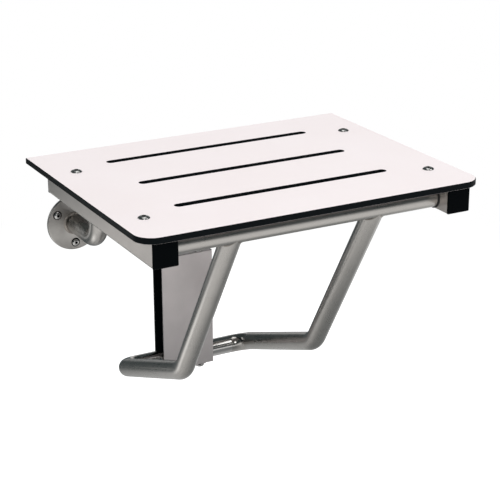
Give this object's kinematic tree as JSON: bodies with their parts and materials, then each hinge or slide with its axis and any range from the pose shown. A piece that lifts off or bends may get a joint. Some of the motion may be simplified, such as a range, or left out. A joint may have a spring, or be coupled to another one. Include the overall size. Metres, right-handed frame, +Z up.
{
  "type": "fold down wall seat",
  "caption": "Wall-mounted seat with a slotted panel on square rails that folds up, carried by hinged wall arms and a bent tube frame that slides in a wall guide.",
  "frame": {"origin": "centre of the guide bracket's four wall screws, on the wall face", "axes": "+X to the right as seen from the room, +Y into the wall, +Z up"},
  "size_m": [0.46, 0.4067, 0.3529],
  "materials": {
    "panel": "satin white laminate over a black core",
    "rail_steel": "satin stainless",
    "tube_steel": "satin stainless",
    "polished_tube": "polished by sliding",
    "flange_steel": "satin stainless",
    "cover_steel": "fine satin stainless",
    "screw_steel": "bright stainless",
    "spring_steel": "bright stainless strip",
    "black_plastic": "moulded black",
    "nylon": "moulded black nylon"
  },
  "bodies": {
    "wall_fittings": {"hinge_plugs": "black_plastic", "left_wall_flange": "flange_steel", "right_wall_flange": "flange_steel", "left_flange_screws": "screw_steel", "right_flange_screws": "screw_steel", "left_flange_weld": "flange_steel", "right_flange_weld": "flange_steel", "left_wall_arm": "tube_steel", "right_wall_arm": "tube_steel", "guide_back_plate": "cover_steel", "guide_wall_screws": "screw_steel", "guide_liner": "nylon", "guide_cover": "cover_steel", "cover_screws": "screw_steel", "retaining_spring": "spring_steel"},
    "seat": {"seat_panel": "panel", "left_rail": "rail_steel", "right_rail": "rail_steel", "left_front_cap": "black_plastic", "right_front_cap": "black_plastic", "left_rear_cap": "black_plastic", "right_rear_cap": "black_plastic", "panel_screws": "screw_steel", "rail_inserts": "screw_steel", "cross_tube_washers": "nylon", "hinge_washers": "nylon"},
    "support_frame": {"cross_tube": "tube_steel", "cross_tube_plugs": "black_plastic", "left_leg": "tube_steel", "right_leg": "tube_steel", "leg_welds": "tube_steel"},
    "guide_slider": {"guide_tube": "polished_tube"}
  },
  "joints": [
    {"name": "seat_fold", "type": "hinge", "parent": "wall_fittings", "child": "seat", "pos_m": [0, -0.09, 0.23572], "axis": [-1, 0, 0], "range_deg": [0, 90]},
    {"name": "leg_swing", "type": "hinge", "parent": "seat", "child": "support_frame", "pos_m": [0, -0.3585, 0.23572], "axis": [-1, 0, 0], "range_deg": [-51.64, 0.5]},
    {"name": "guide_slide", "type": "slide", "parent": "wall_fittings", "child": "guide_slider", "axis": [0, 0, 1], "range_m": [-0.0005, 0.12271]}
  ],
  "couplings": [
    {"joint": "leg_swing", "follows": "seat_fold", "ratio": -0.5682},
    {"joint": "guide_slide", "follows": "seat_fold", "m_per_rad": 0.077801}
  ]
}
